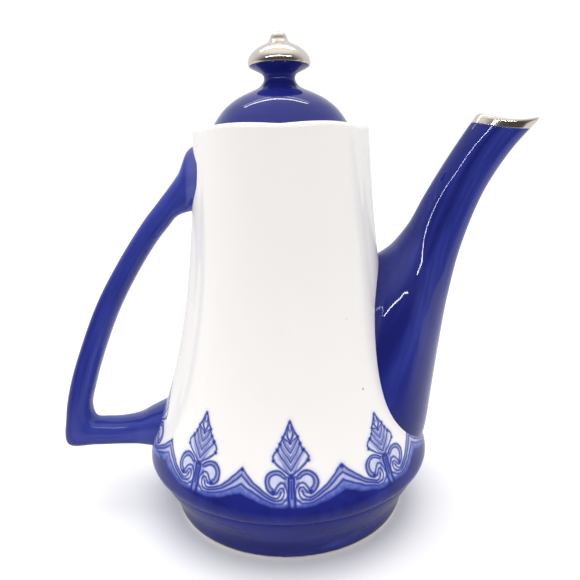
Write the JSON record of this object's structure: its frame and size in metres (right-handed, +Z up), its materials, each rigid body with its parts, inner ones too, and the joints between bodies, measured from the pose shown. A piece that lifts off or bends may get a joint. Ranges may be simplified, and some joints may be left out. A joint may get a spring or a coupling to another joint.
{
  "type": "gzhel porcelain teapot",
  "caption": "Tall flared porcelain teapot with soft lobes, a raised foot, an upswept spout, an angular handle and a lift-off domed lid with a metallic knob.",
  "frame": {"origin": "centre of the foot's resting ring, on the table", "axes": "+X from the pot's axis towards the spout, +Z up, +Y to the pot's far side when the spout points right"},
  "size_m": [0.2567, 0.1526, 0.245],
  "materials": {
    "white_glaze": "clear gloss glaze over warm white porcelain, painted in underglaze cobalt round the base",
    "cobalt_glaze": "solid hand-brushed underglaze cobalt under clear gloss glaze, with visible brush streaks",
    "platinum_lustre": "warm silver platinum lustre fired over the glaze, mirror-like and metallic",
    "bare_porcelain": "unglazed matt porcelain on the faces that rest or slide"
  },
  "bodies": {
    "pot": {"pot_body": "white_glaze", "foot": "cobalt_glaze", "spout": "cobalt_glaze", "spout_lip": "platinum_lustre", "handle": "cobalt_glaze"},
    "lid": {"lid_dome": "cobalt_glaze", "lid_collar": "bare_porcelain", "knob_neck": "cobalt_glaze", "knob_cap": "platinum_lustre", "knob_button": "platinum_lustre"}
  },
  "joints": [
    {"name": "lid_lift", "type": "slide", "parent": "pot", "child": "lid", "axis": [0, 0, 1], "range_m": [0, 0.06]}
  ]
}
